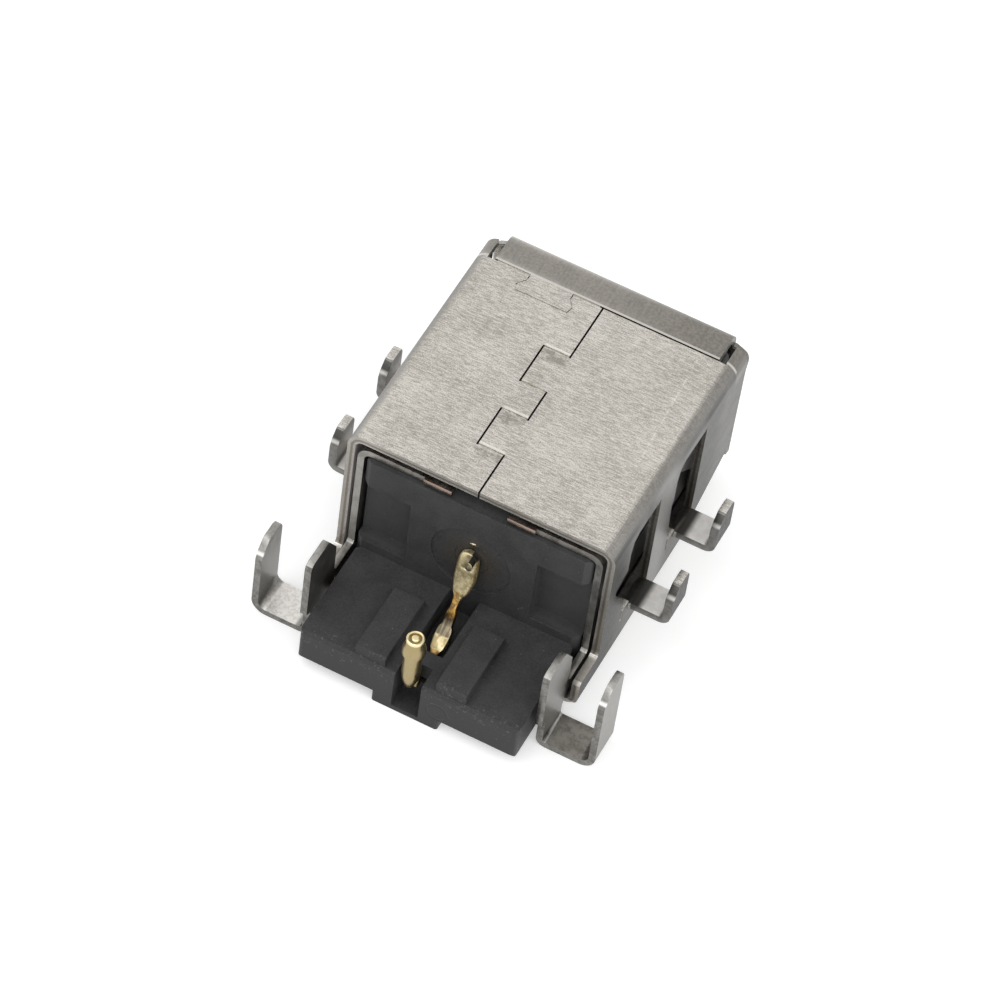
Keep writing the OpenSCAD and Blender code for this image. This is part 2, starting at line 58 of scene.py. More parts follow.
class Wire:
    """A shader socket that takes part in plain maths."""

    def __init__(self, tree, socket):
        self.tree = tree
        self.socket = socket

    def _maths(self, operation, other=None):
        node = self.tree.nodes.new("ShaderNodeMath")
        node.operation = operation
        for i, value in enumerate([self, other]):
            if isinstance(value, Wire):
                self.tree.links.new(value.socket, node.inputs[i])
            elif value is not None:
                node.inputs[i].default_value = value
        return Wire(self.tree, node.outputs[0])

    def __add__(self, other):
        return self._maths("ADD", other)

    def __sub__(self, other):
        return self._maths("SUBTRACT", other)

    def __mul__(self, other):
        return self._maths("MULTIPLY", other)

    def __pow__(self, other):
        return self._maths("POWER", other)

    def size(self):
        return self._maths("ABSOLUTE")

    def high(self, other):
        return self._maths("MAXIMUM", other)

    def ramp(self, start, end, first=0.0, last=1.0):
        """Goes smoothly from first to last while the value goes from start to end."""
        node = self.tree.nodes.new("ShaderNodeMapRange")
        node.interpolation_type = "SMOOTHSTEP"
        for name, value in (("From Min", start), ("From Max", end), ("To Min", first), ("To Max", last)):
            node.inputs[name].default_value = value
        self.tree.links.new(self.socket, node.inputs["Value"])
        return Wire(self.tree, node.outputs["Result"])

    def fall(self, start, end):
        """Goes smoothly from one to zero while the value goes from start to end."""
        return self.ramp(start, end, 1.0, 0.0)

    def near(self, centre, half_width, soft):
        """One within half_width of centre, fading to zero over soft."""
        return (self - centre).size().fall(half_width, half_width + soft)

    def span(self, other):
        """Straight distance whose two sides are this value and the other."""
        return (self * self + other * other) ** 0.5


class Finish:
    """A Principled material, with the place in millimetres and the face's direction as wires."""

    def __init__(self, name, **fixed):
        self.material = bpy.data.materials.new(name)
        self.material.use_nodes = True
        self.tree = self.material.node_tree
        self.shader = self.tree.nodes["Principled BSDF"]
        for key, value in fixed.items():
            self.shader.inputs[key.replace("_", " ")].default_value = value
        place = self.tree.nodes.new("ShaderNodeTexCoord")
        self.x, self.y, self.z = (part * 1000.0 for part in self.split(place.outputs["Object"]))
        facing = self.tree.nodes.new("ShaderNodeNewGeometry")
        self.nx, self.ny, self.nz = self.split(facing.outputs["True Normal"])

    def split(self, vector):
        node = self.tree.nodes.new("ShaderNodeSeparateXYZ")
        self.tree.links.new(vector, node.inputs[0])
        return [Wire(self.tree, out) for out in node.outputs]

    def noise(self, size, detail=2.0, pull=(1, 1, 1), shift=0.0, rough=0.55):
        """Noise whose lumps are size millimetres across, drawn out along an axis by pull."""
        spot = self.tree.nodes.new("ShaderNodeCombineXYZ")
        for wire, long, socket in zip((self.x, self.y, self.z), pull, spot.inputs):
            self.tree.links.new((wire * (1.0 / (size * long)) + shift).socket, socket)
        node = self.tree.nodes.new("ShaderNodeTexNoise")
        node.inputs["Scale"].default_value = 1.0
        node.inputs["Detail"].default_value = detail
        node.inputs["Roughness"].default_value = rough
        self.tree.links.new(spot.outputs[0], node.inputs["Vector"])
        return Wire(self.tree, node.outputs["Fac"])

    def mix(self, amount, first, second):
        """Colour that goes from first to second; each is a wire or a plain colour."""
        node = self.tree.nodes.new("ShaderNodeMix")
        node.data_type = "RGBA"
        self.tree.links.new(amount.socket, node.inputs["Factor"])
        for value, socket in zip((first, second), [s for s in node.inputs if s.type == "RGBA"]):
            if isinstance(value, Wire):
                self.tree.links.new(value.socket, socket)
            else:
                socket.default_value = (*value, 1.0)
        return Wire(self.tree, [s for s in node.outputs if s.type == "RGBA"][0])

    def drive(self, name, wire):
        self.tree.links.new(wire.socket, self.shader.inputs[name])

    def relief(self, height, depth):
        """Bumps of the given depth in millimetres."""
        node = self.tree.nodes.new("ShaderNodeBump")
        node.inputs["Strength"].default_value = 1.0
        node.inputs["Distance"].default_value = depth / 1000.0
        self.tree.links.new(height.socket, node.inputs["Height"])
        self.tree.links.new(node.outputs["Normal"], self.shader.inputs["Normal"])

    def wear_on(self, piece):
        piece.data.materials.clear()
        piece.data.materials.append(self.material)


def ease_edges(piece, width, segments=2):
    """Rounds the sheared or moulded edges of a piece by width millimetres."""
    weld = piece.modifiers.new("weld", "WELD")
    weld.merge_threshold = 1e-6
    flat = piece.modifiers.new("flat", "DECIMATE")
    flat.decimate_type = "DISSOLVE"
    flat.angle_limit = math.radians(0.5)
    edge = piece.modifiers.new("edge", "BEVEL")
    edge.width = width / 1000.0
    edge.segments = segments
    edge.limit_method = "ANGLE"
    edge.angle_limit = math.radians(32.0)
    smooth = piece.modifiers.new("smooth", "WEIGHTED_NORMAL")
    smooth.keep_sharp = True
    for face in piece.data.polygons:
        face.use_smooth = True


# Places along the shield, from the rear: the seam's four cross cuts and the rear
# edges of the two tails on each side
cross_cuts = (2.18, 4.30, 5.96, 8.08)
tail_edges = (2.58, 6.83)


def brushed_stainless():
    steel = Finish("brushed_stainless", Metallic=1.0, Specular_IOR_Level=0.2)
    level = steel.nz.ramp(0.5, 0.9)
    top = level * steel.z.ramp(7.9, 8.1)
    outside = steel.x.size().ramp(6.05, 6.15)
    folded = steel.y.ramp(11.12, 11.2) * steel.z.ramp(7.0, 7.4)
    # Brush marks run across the top and the walls, and lengthways on the folded edge
    across = steel.noise(0.042, 2.0, pull=(8, 1, 8))
    grain = steel.noise(0.055, 3.0, shift=7.0)
    lengthways = steel.noise(0.13, 2.0, pull=(1, 9, 9))
    clouds = steel.noise(2.2, 3.0)
    # On the front plate they run from side to side as well
    plate = steel.noise(0.042, 2.0, pull=(10, 10, 1), shift=2.0)
    across = across + (plate - across) * steel.ny.size().ramp(0.5, 0.9)
    marks = across * 0.5 + grain * 0.5
    marks = marks + (lengthways * 0.6 + grain * 0.4 - marks) * folded
    tone = marks * 0.86 + clouds * 0.14
    light = steel.mix(tone.ramp(0.38, 0.62), (0.320, 0.303, 0.272), (0.700, 0.677, 0.632))
    # The long bends and the walls get painted shade, darker than the top
    turned = steel.nx.ramp(0.08, 0.42).high((steel.nx * -1.0).ramp(0.20, 0.85))
    shaded_bend = steel.mix(tone.ramp(0.34, 0.66), (0.185, 0.181, 0.172), (0.250, 0.245, 0.234))
    # The walls are smoother than the top. They get painted shade, with a painted lighter band
    # between the windows and the darkest painted shade at the rear and ahead of the windows,
    # where the metal is also made less metallic
    rubbed = steel.noise(0.6, 3.0, pull=(1, 2, 1), shift=17.0)
    patchy = (rubbed * 0.5 + tone * 0.5).ramp(0.34, 0.66)
    dimmed = steel.mix(patchy, (0.110, 0.108, 0.104), (0.175, 0.172, 0.166))
    shaded_ends = steel.y.fall(0.4, 2.8).high(steel.y.near(9.2, 0.4, 1.2) * 0.45)
    dimmed = steel.mix(steel.y.near(4.8, 0.3, 1.4), dimmed, (0.260, 0.256, 0.248))
    dimmed = steel.mix(shaded_ends * 0.85, dimmed, (0.022, 0.022, 0.021))
    dimmed = steel.mix(steel.nx.size().ramp(0.75, 0.99), shaded_bend, dimmed)
    # The folded band gets painted shade, darker towards its right end, with painted light towards its left
    # end away from its middle line and a painted highlight along its rear rim
    bent = steel.mix(tone.ramp(0.25, 0.75), (0.205, 0.198, 0.184), (0.300, 0.290, 0.270))
    bent = steel.mix(steel.x.ramp(-1.0, 4.5) * 0.4, bent, (0.120, 0.116, 0.107))
    pale = steel.mix(tone.ramp(0.25, 0.75), (0.330, 0.320, 0.298), (0.500, 0.485, 0.458))
    bent = steel.mix((steel.y - 11.9).size().ramp(0.3, 0.9) * steel.x.fall(-4.5, 4.8), bent, pale)
    rear_rim = steel.y.near(11.22, 0.04, 0.05) * steel.nz.ramp(0.3, 0.6)
    bent = steel.mix(rear_rim * 0.7, bent, (0.700, 0.680, 0.640))
    colour = steel.mix(turned, light, dimmed)
    colour = steel.mix(folded, colour, bent)
    # The inner faces stayed clean
    inner = (steel.x * steel.nx).fall(-4.0, -3.0)
    colour = steel.mix(inner, colour, (0.620, 0.610, 0.585))
    # Each tail's strip gets a painted sheen up to its outer bend, less metallic, and painted
    # shadow next to the wall; its sheared edges are dark. The tails' upright faces get painted
    # shade, mottled near black, and their inward faces a painted light band
    mottled = steel.noise(0.3, 2.0, shift=21.0).ramp(0.36, 0.64)
    shine = steel.x.size().ramp(6.35, 6.70) * steel.x.size().ramp(7.3, 7.5, 1.0, 0.35)
    up_to_strip = steel.z.fall(2.36, 2.40)
    strip = outside * level * up_to_strip
    sheared = outside * steel.ny.fall(-0.62, -0.28)
    upright = steel.mix(mottled, (0.022, 0.022, 0.021), (0.060, 0.059, 0.056))
    colour = steel.mix(outside * steel.nx.size().ramp(0.6, 0.9), colour, upright)
    lit_inward_face = steel.mix(steel.z.near(3.0, 0.2, 0.6), (0.380, 0.368, 0.346), (0.600, 0.565, 0.530))
    colour = steel.mix(outside * inner * 0.8, colour, lit_inward_face)
    bright = steel.mix(mottled, (0.880, 0.855, 0.820), (0.980, 0.960, 0.925))
    colour = steel.mix(strip, colour, steel.mix(shine, (0.085, 0.083, 0.077), bright))
    # Painted shade at each tail's root below the windows
    at_root = steel.x.size().ramp(5.60, 5.72) * steel.x.size().fall(6.15, 6.25) * steel.y.ramp(2.3, 2.4)
    root = at_root * steel.nz.ramp(0.05, 0.2) * up_to_strip
    colour = steel.mix(root * 0.8, colour, (0.075, 0.073, 0.068))
    colour = steel.mix(sheared, colour, steel.mix(mottled, (0.150, 0.147, 0.138), (0.205, 0.201, 0.189)))
    # Painted shade on the tails' slanted tops
    colour = steel.mix(sheared * steel.nz.ramp(0.4, 0.6) * 0.8, colour, (0.055, 0.054, 0.050))
    for edge in tail_edges:
        glint = steel.y.near(edge + 0.10, 0.02, 0.12) * steel.z.near(3.66, 0.02, 0.13)
        colour = steel.mix(glint * outside * 0.6, colour, (0.850, 0.830, 0.790))
    # Painted shade on the heel's low top faces at the rear
    cut = level * steel.z.fall(2.0, 2.1) * steel.y.fall(-0.3, -0.1)
    colour = steel.mix(cut * 0.8, colour, (0.280, 0.265, 0.240))
    # A punched edge shows a dark line of torn metal half way through the sheet
    beyond_x = (steel.x.size() - 5.3).high(0.0)
    beyond_z = ((steel.z - 4.15).size() - 3.45).high(0.0)
    depth = (beyond_x.span(beyond_z) - 0.7) * -1.0
    punched = steel.ny.fall(-0.9, -0.6) * steel.x.size().fall(6.02, 6.05) * steel.y.fall(12.3, 12.5)
    colour = steel.mix(punched * 0.55, colour, (0.330, 0.310, 0.280))
    colour = steel.mix(punched * depth.near(0.2, 0.03, 0.05) * 0.7, colour, (0.140, 0.120, 0.103))
    # Three cross cuts of the seam are struck flat, which leaves a dented patch beside each,
    # drawn as dull metal with painted shade of the dent, and a painted highlight along the
    # lip beyond each cut
    struck = lit_lip = None
    stray_x = steel.x + (steel.noise(0.5, 2.0, shift=33.0) * 0.7 - 0.35)
    stray_y = steel.y + (steel.noise(0.4, 2.0, shift=37.0) * 0.8 - 0.40)
    for place in (cross_cuts[3], cross_cuts[1], cross_cuts[0]):
        patch = stray_y.near(place - 0.34, 0.16, 0.22) * stray_x.near(-0.72, 0.44, 0.22)
        edge = steel.y.near(place + 0.13, 0.03, 0.05) * steel.x.near(-0.72, 0.5, 0.16)
        struck = patch if struck is None else struck.high(patch)
        lit_lip = edge if lit_lip is None else lit_lip.high(edge)
    smear = steel.noise(0.3, 4.0, shift=3.0, rough=0.65).ramp(0.40, 0.60, 0.25, 1.0)
    struck = struck * top * smear
    colour = steel.mix(struck * 0.75, colour, (0.215, 0.205, 0.182))
    colour = steel.mix(lit_lip * top * 0.6, colour, (0.900, 0.880, 0.830))
    tint = steel.noise(0.12, 2.0, shift=11.0).ramp(0.35, 0.65)
    colour = steel.mix(tint * top * 0.12, colour, (0.720, 0.600, 0.440))
    # One long thin bright line runs beside the right bend
    pale_line = (steel.x - 4.85 + (steel.y * 0.045)).near(0.0, 0.01, 0.05)
    pale_line = pale_line * steel.y.ramp(3.6, 4.6) * steel.y.fall(10.6, 10.8)
    pale_line = pale_line * steel.noise(0.3, 3.0, shift=5.0).ramp(0.47, 0.62)
    colour = steel.mix(pale_line * top * 0.35, colour, (0.900, 0.890, 0.850))
    steel.drive("Base Color", colour)
    shaded_wall_ends = turned * shaded_ends * (outside * -1.0 + 1.0)
    steel.drive("Metallic", (strip * shine * -0.6 + 1.0) * (shaded_wall_ends * -0.5 + 1.0))
    steel.drive("Roughness", tone.ramp(0.3, 0.7, 0.30, 0.46) + turned * 0.05)
    steel.relief(marks - struck * 8.0, 0.003)
    return steel


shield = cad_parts["outer_shield"]
ease_edges(shield, 0.05)
brushed_stainless().wear_on(shield)


# ---- Front plate's wings ----
# The front plate reaches past the fold on both sides and closes the box as far
# as the side walls. Its upper corners are cut off low enough to clear the fold.

def metres(x, y, z):
    """Place that is given in millimetres."""
    return (x / 1000.0, y / 1000.0, z / 1000.0)


def finished(shape, name, smooth=True):
    """Object with the shape's mesh, its faces turned outward."""
    bmesh.ops.recalc_face_normals(shape, faces=shape.faces)
    mesh = bpy.data.meshes.new(name)
    shape.to_mesh(mesh)
    shape.free()
    for face in mesh.polygons:
        face.use_smooth = smooth
    piece = bpy.data.objects.new(name, mesh)
    bpy.context.scene.collection.objects.link(piece)
    return piece


def extruded(name, outline, near, far, edge):
    """Plate with an (x, z) outline in millimetres, between two depths, its rims rounded by edge."""
    shape = bmesh.new()
    ring = [shape.verts.new(metres(x, near, z)) for x, z in outline]
    rim = shape.faces.new(ring)
    pulled = bmesh.ops.extrude_face_region(shape, geom=[rim])
    lifted = [v for v in pulled["geom"] if isinstance(v, bmesh.types.BMVert)]
    bmesh.ops.translate(shape, verts=lifted, vec=metres(0.0, far - near, 0.0))
    bmesh.ops.recalc_face_normals(shape, faces=shape.faces)
    bmesh.ops.bevel(shape, geom=list(shape.edges), offset=edge / 1000.0, segments=2,
                    affect="EDGES", clamp_overlap=True)
    return finished(shape, name, smooth=False)


steel = shield.data.materials[0]
wing_outline = ((5.08, 0.75), (5.70, 0.75), (5.78, 0.85), (5.80, 6.2), (5.85, 6.9),
                (5.82, 7.15), (5.72, 7.32), (5.50, 7.44), (5.25, 7.56), (5.08, 7.60))
for side in (-1, 1):
    outline = [(side * x, z) for x, z in wing_outline]
    wing = extruded("front_wing", outline, near=12.66, far=12.99, edge=0.06)
    wing.data.materials.append(steel)
    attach(wing, "root")


# ---- Pressed seam ----
# The cross cuts of the seam and the lock tab are pressed shut after folding, so
# crushed metal fills their gaps to just below the surface.

# Left, right, rear and front of each gap that is filled
shut = [(-1.30, -0.18, place - 0.1, place + 0.1) for place in cross_cuts]
shut += [(-3.85, -1.15, 10.05, 11.12), (-5.0, -0.3, 10.95, 11.25)]
fill_low, fill_high = 8.0, 8.262
for left, right, near, far in shut:
    section = [(left, fill_low), (right, fill_low), (right, fill_high), (left, fill_high)]
    crush = extruded("crushed_metal", section, near, far, edge=0.005)
    crush.data.materials.append(steel)
    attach(crush, "root")


# ---- Sleeve contact ----
# Folded copper alloy under bright tin. It touches the plug's barrel with two
# spring tongues, and its two rear strips end in solder tails. The stubs at the
# flaps' inner ends were sheared after plating and show bare copper.

def tin_plating():
    tin = Finish("tin_plating", Metallic=1.0)
    clouds = tin.noise(0.5, 3.0)
    speckle = tin.noise(0.12, 3.0, shift=4.0)
    tone = clouds * 0.6 + speckle * 0.4
    plain = tin.mix(tone.ramp(0.35, 0.65), (0.270, 0.262, 0.245), (0.400, 0.390, 0.368))
    # Upright faces are duller, and behind the shield's windows they get painted light, pale and barely
    # metallic
    upright = tin.nx.size().ramp(0.7, 0.9)
    plain = tin.mix(upright * 0.45, plain, (0.120, 0.118, 0.112))
    wall = tin.y.ramp(0.6, 0.9) * upright
    plain = tin.mix(wall, plain, (0.740, 0.730, 0.710))
    # The left solder tail's strip gets a flecked painted sheen, pale and less metallic, and the right one's
    # painted shade
    flecks = (clouds * 0.3 + speckle * 0.7).ramp(0.4, 0.6)
    left = tin.mix(flecks, (0.720, 0.695, 0.650), (0.950, 0.925, 0.885))
    right = tin.mix(tone.ramp(0.4, 0.6), (0.270, 0.250, 0.225), (0.400, 0.378, 0.348))
    strip = tin.x.size().ramp(5.7, 5.9) * tin.nz.ramp(0.5, 0.9) * tin.z.fall(0.1, 0.3)
    colour = tin.mix(strip, plain, tin.mix(tin.x.ramp(-1.0, 1.0), left, right))
    # Their sheared edges are dark, with a glint where the slanted end begins
    rear = tin.y.fall(-1.7, -1.6)
    sheared = tin.ny.fall(-0.97, -0.90) * rear
    torn = tin.mix(tone.ramp(0.4, 0.6), (0.100, 0.098, 0.090), (0.200, 0.195, 0.180))
    colour = tin.mix(sheared * 0.85, colour, torn)
    for side, corner in ((-1, 3.16), (1, 3.86)):
        glint = tin.y.near(-3.60, 0.03, 0.10) * tin.z.near(corner, 0.03, 0.12) * (tin.x * side).ramp(7.0, 7.1)
        colour = tin.mix(glint * 0.9, colour, (0.950, 0.940, 0.910))
    stub = tin.y.fall(-0.04, 0.02) * tin.z.ramp(7.0, 7.2)
    copper = tin.mix(tin.z.ramp(7.5, 7.56), (0.060, 0.048, 0.040), (0.360, 0.250, 0.190))
    colour = tin.mix(stub * 0.75, colour, copper)
    tin.drive("Base Color", colour)
    tin.drive("Metallic", (wall * -0.8 + 1.0) * (strip * tin.x.ramp(-1.0, 1.0, -0.4, 0.0) + 1.0))
    tin.drive("Roughness", tone.ramp(0.3, 0.7, 0.28, 0.42))
    tin.relief(speckle, 0.0008)
    return tin


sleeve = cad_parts["sleeve_contact"]
ease_edges(sleeve, 0.05)
tin_plating().wear_on(sleeve)


# ---- Housing ----
# Black heat-proof plastic, moulded in one piece. The mould leaves a fine grain,
# the ring of an ejector pin on the rear face, and slightly worn corners.

# Height of the bore's axis
axis_z = 4.1


def black_moulding():
    black = Finish("black_moulding", Specular_IOR_Level=0.25)
    grain = black.noise(0.07, 3.0)
    flow = black.noise(0.9, 3.0, shift=2.0)
    tone = grain * 0.6 + flow * 0.4
    colour = black.mix(tone.ramp(0.35, 0.65), (0.034, 0.034, 0.035), (0.052, 0.052, 0.053))
    # The rear wall is tinted brown round the terminal's pad
    from_axis = black.x.span(black.z - axis_z)
    halo = from_axis.fall(0.6, 1.7) * black.y.fall(0.0, 0.5) * black.y.ramp(-0.4, -0.3)
    colour = black.mix(halo * 0.5, colour, (0.050, 0.040, 0.026))
    # Faces forward of the rear face and above the shelf, in the pockets and under the shield, get painted
    # light, a little lighter
    sunk = black.y.ramp(-0.12, 0.1) * black.z.ramp(1.9, 2.2)
    colour = black.mix(sunk * 0.35, colour, (0.085, 0.085, 0.087))
    # The shelf's rear faces get painted shade
    back = black.ny.fall(-0.9, -0.5) * black.y.fall(-4.0, -3.6)
    colour = black.mix(back * 0.45, colour, (0.018, 0.018, 0.018))
    # The flanks inside the sleeve contact get painted light, pale grey
    beside = black.nx.size().ramp(0.6, 0.8) * black.y.ramp(1.0, 1.2)
    colour = black.mix(beside, colour, (0.120, 0.119, 0.116))
    scuffs = black.noise(0.16, 4.0, shift=6.0, rough=0.7).ramp(0.56, 0.70)
    scuffs = scuffs * black.y.fall(-4.9, -4.4) * black.z.ramp(0.9, 1.3)
    colour = black.mix(scuffs * 0.7, colour, (0.130, 0.130, 0.132))
    dust = black.noise(0.12, 1.0, shift=9.0).ramp(0.77, 0.8)
    colour = black.mix(dust, colour, (0.130, 0.130, 0.130))
    black.drive("Base Color", colour)
    black.drive("Roughness", tone.ramp(0.3, 0.7, 0.44, 0.62))
    from_ejector = (black.x - 1.4).span(black.z - 0.65)
    ring = from_ejector.near(0.45, 0.02, 0.05) * black.y.fall(-5.15, -5.1)
    black.relief(grain - ring * 2.5, 0.006)
    return black


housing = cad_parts["housing"]
ease_edges(housing, 0.15, segments=3)
black_moulding().wear_on(housing)


# ---- Centre pin ----
# Turned brass pin with a flange in the bore, gold-plated. Its thin rear end
# passes through the wall and is staked in the terminal.

# Middle of the solder pin
solder_x, solder_y = -0.10, -4.765


def gold_plating():
    gold = Finish("gold_plating", Metallic=1.0)
    clouds = gold.noise(0.35, 3.0)
    scuffs = gold.noise(0.06, 2.0, shift=5.0)
    tone = clouds * 0.6 + scuffs * 0.4
    colour = gold.mix(tone.ramp(0.35, 0.65), (0.560, 0.470, 0.270), (0.780, 0.700, 0.470))
    # The S-bend gets painted shade, amber-brown in patches
    strip = gold.y.ramp(-4.2, -4.1)
    bend = gold.z.near(2.32, 0.5, 0.12) * gold.y.ramp(-1.80, -1.62) * gold.y.fall(-0.98, -0.9)
    patches = gold.noise(0.2, 3.0, shift=12.0).ramp(0.42, 0.58)
    shaded_amber = gold.mix(patches, (0.150, 0.080, 0.018), (0.460, 0.260, 0.060))
    colour = gold.mix(bend * 0.92, colour, shaded_amber)
    # From the channel's end back to the solder pin the strip is darker amber
    tail = gold.y.fall(-2.66, -2.56) * strip
    colour = gold.mix(tail * 0.92, colour, gold.mix(patches, (0.110, 0.062, 0.018), (0.300, 0.180, 0.055)))
    grooves = gold.noise(0.1, 2.0, pull=(1, 8, 8)).ramp(0.4, 0.6)
    dimmed = gold.y.near(-1.93, 0.27, 0.06) * gold.z.fall(1.9, 2.0)
    colour = gold.mix(dimmed * 0.9, colour, gold.mix(grooves, (0.085, 0.070, 0.050), (0.250, 0.208, 0.150)))
    # The pad's rim, where the dome turns sideways, gets painted shade darker than its face, and
    # the press left the pad matt
    pad = gold.z.ramp(2.55, 2.7) * strip * gold.y.ramp(-0.16, -0.18)
    colour = gold.mix(pad * gold.nx.size().ramp(0.35, 0.8) * 0.8, colour, (0.260, 0.170, 0.050))
    stains = gold.noise(0.22, 3.0, shift=25.0).ramp(0.46, 0.60)
    colour = gold.mix(pad * stains * 0.45, colour, (0.330, 0.250, 0.110))
    # Painted highlights: sparks across the pad and a stroke down its left edge
    sparks = gold.noise(0.14, 3.0, shift=15.0).ramp(0.5, 0.7)
    colour = gold.mix(pad * sparks * 0.5, colour, (0.960, 0.880, 0.560))
    rim = pad * (gold.x + 0.22).near(0.0, 0.04, 0.14) * gold.z.near(4.55, 0.25, 0.25)
    colour = gold.mix(rim * 0.9, colour, (1.000, 0.880, 0.540))
    # The last bend above the channel is painted darker, with painted highlights in spots
    spots = gold.noise(0.28, 1.0, shift=31.0).ramp(0.40, 0.60)
    elbow = gold.y.near(-2.42, 0.22, 0.06) * gold.z.fall(1.6, 1.7) * gold.nx.size().fall(0.3, 0.5)
    colour = gold.mix(elbow * 0.85, colour, gold.mix(spots, (0.340, 0.260, 0.125), (0.740, 0.640, 0.385)))
    # Painted shade on the strip's end and the pin's bottom in the notch, near black
    notch_shade = gold.y.fall(-3.9, -3.8) * gold.z.fall(1.15, 1.4)
    colour = gold.mix(notch_shade * 0.9, colour, (0.060, 0.045, 0.022))
    # The round pin's side gets painted shade, darker than its coined end; the end is painted
    # lighter, with painted shade in its ring groove
    stem = gold.y.fall(-4.2, -4.1)
    colour = gold.mix(stem * gold.z.fall(4.02, 4.08) * 0.88, colour, (0.330, 0.258, 0.128))
    from_middle = (gold.x - solder_x).span(gold.y - solder_y)
    coined = stem * gold.z.ramp(4.02, 4.08)
    colour = gold.mix(coined * 0.5, colour, (0.960, 0.820, 0.470))
    colour = gold.mix(coined * from_middle.near(0.22, 0.025, 0.02) * 0.9, colour, (0.110, 0.075, 0.028))
    # The slot's walls and the pin's thin end in the hole behind the pad get painted shade,
    # nearly black and not metallic, broken by a few bright spots away from the axis
    slot = (gold.x - (gold.z - 4.07) * 0.25 - 0.1).near(0.0, 0.165, 0.02)
    slot = slot * gold.z.ramp(3.84, 3.88) * gold.y.ramp(-1.2, -1.0)
    slot = slot * gold.ny.ramp(-0.8, -0.5) * gold.y.fall(-0.1, 0.0)
    behind = gold.y.ramp(-0.18, -0.16) * gold.y.fall(2.2, 2.4)
    from_axis = gold.x.span(gold.z - axis_z)
    spotted_shade = gold.noise(0.3, 2.0, shift=8.0).fall(0.58, 0.64)
    hole_shade = slot.high(behind * spotted_shade.high(from_axis.fall(0.55, 0.65)))
    colour = gold.mix(hole_shade, colour, (0.028, 0.025, 0.020))
    gold.drive("Metallic", hole_shade * -1.0 + 1.0)
    gold.drive("Base Color", colour)
    gold.drive("Roughness", tone.ramp(0.3, 0.7, 0.26, 0.40) + pad * 0.2)
    gold.relief(scuffs, 0.0012)
    return gold


gold = gold_plating()
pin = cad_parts["centre_pin"]
ease_edges(pin, 0.04)
gold.wear_on(pin)


# ---- Centre terminal ----
# Stamped gold-plated strip: an oval pad on the rear wall, a thin neck, an
# S-bend, and a flat run along the channel to the solder pin. The strip follows
# one path and only changes its width, so a node tree sweeps it.

